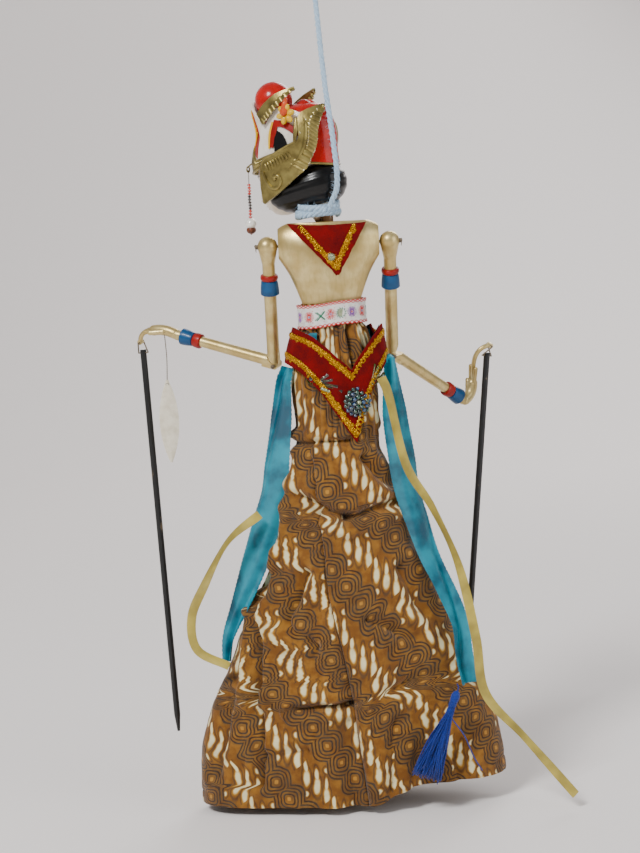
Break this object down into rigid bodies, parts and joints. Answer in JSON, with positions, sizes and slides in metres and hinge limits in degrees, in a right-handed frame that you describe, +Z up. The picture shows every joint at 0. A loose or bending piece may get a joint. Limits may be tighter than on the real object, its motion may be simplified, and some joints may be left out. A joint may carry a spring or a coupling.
{
  "type": "wooden rod puppet",
  "caption": "Carved wooden rod puppet in a flared batik skirt, with a turning crowned head, corded shoulders and elbows, and a thin rod tied to each hand.",
  "frame": {"origin": "on the central rod's axis, in the plane of the skirt's hem", "axes": "+Z up along the central rod; the torso faces +Y; +X is the puppet's right-hand side"},
  "size_m": [0.2118, 0.1019, 0.4333],
  "materials": {
    "turned_rod": "bare, hand-worn",
    "leather_washer": "plain",
    "gold_body": "gold bronze paint on wood",
    "red_felt": "felt",
    "gold_braid": "sequin braid",
    "glass_gem": "faceted",
    "woven_ribbon": "embroidered ribbon",
    "batik": "batik cotton",
    "bead_work": "glass and metal beads",
    "turquoise_satin": "satin",
    "yellow_ribbon": "satin",
    "blue_thread": "thread",
    "face_paint": "painted wood",
    "black_lacquer": "gloss",
    "red_lacquer": "gloss",
    "blue_paint": "gloss",
    "old_gold": "gold bronze paint over carving",
    "flower_paint": "painted wood",
    "yarn": "wool yarn",
    "waxed_thread": "waxed thread",
    "glass_beads": "beads",
    "tag_paper": "paper"
  },
  "bodies": {
    "rod_and_head": {"central_rod": "turned_rod", "head": "face_paint", "hair_bun": "black_lacquer", "crown_cap": "red_lacquer", "crown_ball": "red_lacquer", "crown_knob": "red_lacquer", "diadem": "old_gold", "left_ear_wing": "old_gold", "right_ear_wing": "old_gold", "crown_flower": "flower_paint", "neck_yarn": "yarn", "hanging_cord": "yarn"},
    "rod_washer": {"rod_washer": "leather_washer"},
    "torso": {"torso": "gold_body", "back_collar": "red_felt", "front_collar": "red_felt", "back_collar_braid": "gold_braid", "front_collar_braid": "gold_braid", "collar_gem": "glass_gem", "waist_ribbon": "woven_ribbon", "skirt": "batik", "back_hip_panel": "red_felt", "front_hip_panel": "red_felt", "back_hip_braid": "gold_braid", "front_hip_braid": "gold_braid", "hip_brooch": "bead_work", "left_hip_ornament": "bead_work", "right_hip_ornament": "bead_work", "left_sash": "turquoise_satin", "right_sash": "turquoise_satin", "left_ribbon": "yellow_ribbon", "right_ribbon": "yellow_ribbon"},
    "tassel": {"tassel": "blue_thread"},
    "bead_string": {"bead_string": "glass_beads"},
    "hang_tag": {"hang_tag": "tag_paper"},
    "left_shoulder_cord": {"left_shoulder_cord": "waxed_thread"},
    "left_upper_arm": {"left_upper_arm": "gold_body", "left_armband_red": "red_lacquer", "left_armband_blue": "blue_paint", "left_elbow_cord": "waxed_thread"},
    "left_forearm": {"left_forearm": "gold_body", "left_wristband_red": "red_lacquer", "left_wristband_blue": "blue_paint"},
    "left_rod_tie": {"left_rod_tie": "waxed_thread"},
    "left_hand_rod": {"left_hand_rod": "black_lacquer"},
    "right_shoulder_cord": {"right_shoulder_cord": "waxed_thread"},
    "right_upper_arm": {"right_upper_arm": "gold_body", "right_armband_red": "red_lacquer", "right_armband_blue": "blue_paint", "right_elbow_cord": "waxed_thread"},
    "right_forearm": {"right_forearm": "gold_body", "right_wristband_red": "red_lacquer", "right_wristband_blue": "blue_paint"},
    "right_rod_tie": {"right_rod_tie": "waxed_thread"},
    "right_hand_rod": {"right_hand_rod": "black_lacquer"}
  },
  "joints": [
    {"name": "torso_lift", "type": "slide", "parent": "rod_and_head", "child": "rod_washer", "axis": [0, 0, 1], "range_m": [0, 0.0025]},
    {"name": "torso_turn", "type": "hinge", "parent": "rod_washer", "child": "torso", "pos_m": [0, 0, 0.237], "axis": [0, 0, 1], "range_deg": [-30, 150]},
    {"name": "bead_string_swing", "type": "hinge", "parent": "rod_and_head", "child": "bead_string", "pos_m": [-0.03815, 0.0121, 0.32044], "axis": [0.5, 0.866, 0], "range_deg": [-2, 35]},
    {"name": "left_shoulder_swing", "type": "hinge", "parent": "torso", "child": "left_shoulder_cord", "pos_m": [-0.0303, 0, 0.282], "axis": [1, 0, 0], "range_deg": [-10, 80]},
    {"name": "left_shoulder_spread", "type": "hinge", "parent": "left_shoulder_cord", "child": "left_upper_arm", "pos_m": [-0.0303, 0, 0.282], "axis": [0, 0.9613, 0.2756], "range_deg": [-3, 31]},
    {"name": "left_elbow", "type": "hinge", "parent": "left_upper_arm", "child": "left_forearm", "pos_m": [-0.02924, 0.01655, 0.22225], "axis": [0.4695, 0.8487, 0.2434], "range_deg": [-44, 10]},
    {"name": "left_rod_swing", "type": "hinge", "parent": "left_forearm", "child": "left_rod_tie", "pos_m": [-0.10005, 0.05197, 0.2353], "axis": [0.4695, 0.8487, 0.2434], "range_deg": [-10, 44]},
    {"name": "left_rod_tilt", "type": "hinge", "parent": "left_rod_tie", "child": "left_hand_rod", "pos_m": [-0.09901, 0.05306, 0.2295], "axis": [-0.8659, 0.4964, -0.0609], "range_deg": [-10, 40]},
    {"name": "right_shoulder_swing", "type": "hinge", "parent": "torso", "child": "right_shoulder_cord", "pos_m": [0.0303, 0, 0.282], "axis": [1, 0, 0], "range_deg": [-3, 80]},
    {"name": "right_shoulder_spread", "type": "hinge", "parent": "right_shoulder_cord", "child": "right_upper_arm", "pos_m": [0.0303, 0, 0.282], "axis": [0, -0.9272, -0.3746], "range_deg": [-3, 31]},
    {"name": "right_elbow", "type": "hinge", "parent": "right_upper_arm", "child": "right_forearm", "pos_m": [0.02924, 0.0227, 0.2243], "axis": [0.4695, -0.8187, -0.3308], "range_deg": [-45, 20]},
    {"name": "right_rod_swing", "type": "hinge", "parent": "right_forearm", "child": "right_rod_tie", "pos_m": [0.0829, 0.0534, 0.22449], "axis": [0.4695, -0.8187, -0.3308], "range_deg": [-20, 45]},
    {"name": "right_rod_tilt", "type": "hinge", "parent": "right_rod_tie", "child": "right_hand_rod", "pos_m": [0.0812, 0.05469, 0.21888], "axis": [-0.8362, -0.5325, 0.1312], "range_deg": [-12, 6]},
    {"name": "hang_tag_swing", "type": "hinge", "parent": "left_forearm", "child": "hang_tag", "pos_m": [-0.08629, 0.0361, 0.23888], "axis": [1, 0, 0], "range_deg": [-30, 25]},
    {"name": "tassel_swing", "type": "hinge", "parent": "torso", "child": "tassel", "pos_m": [0.052, -0.0335, 0.061], "axis": [1, 0, 0], "range_deg": [-35, 2]}
  ],
  "couplings": [
    {"joint": "left_rod_swing", "follows": "left_elbow", "ratio": -1},
    {"joint": "right_rod_swing", "follows": "right_elbow", "ratio": -1}
  ]
}
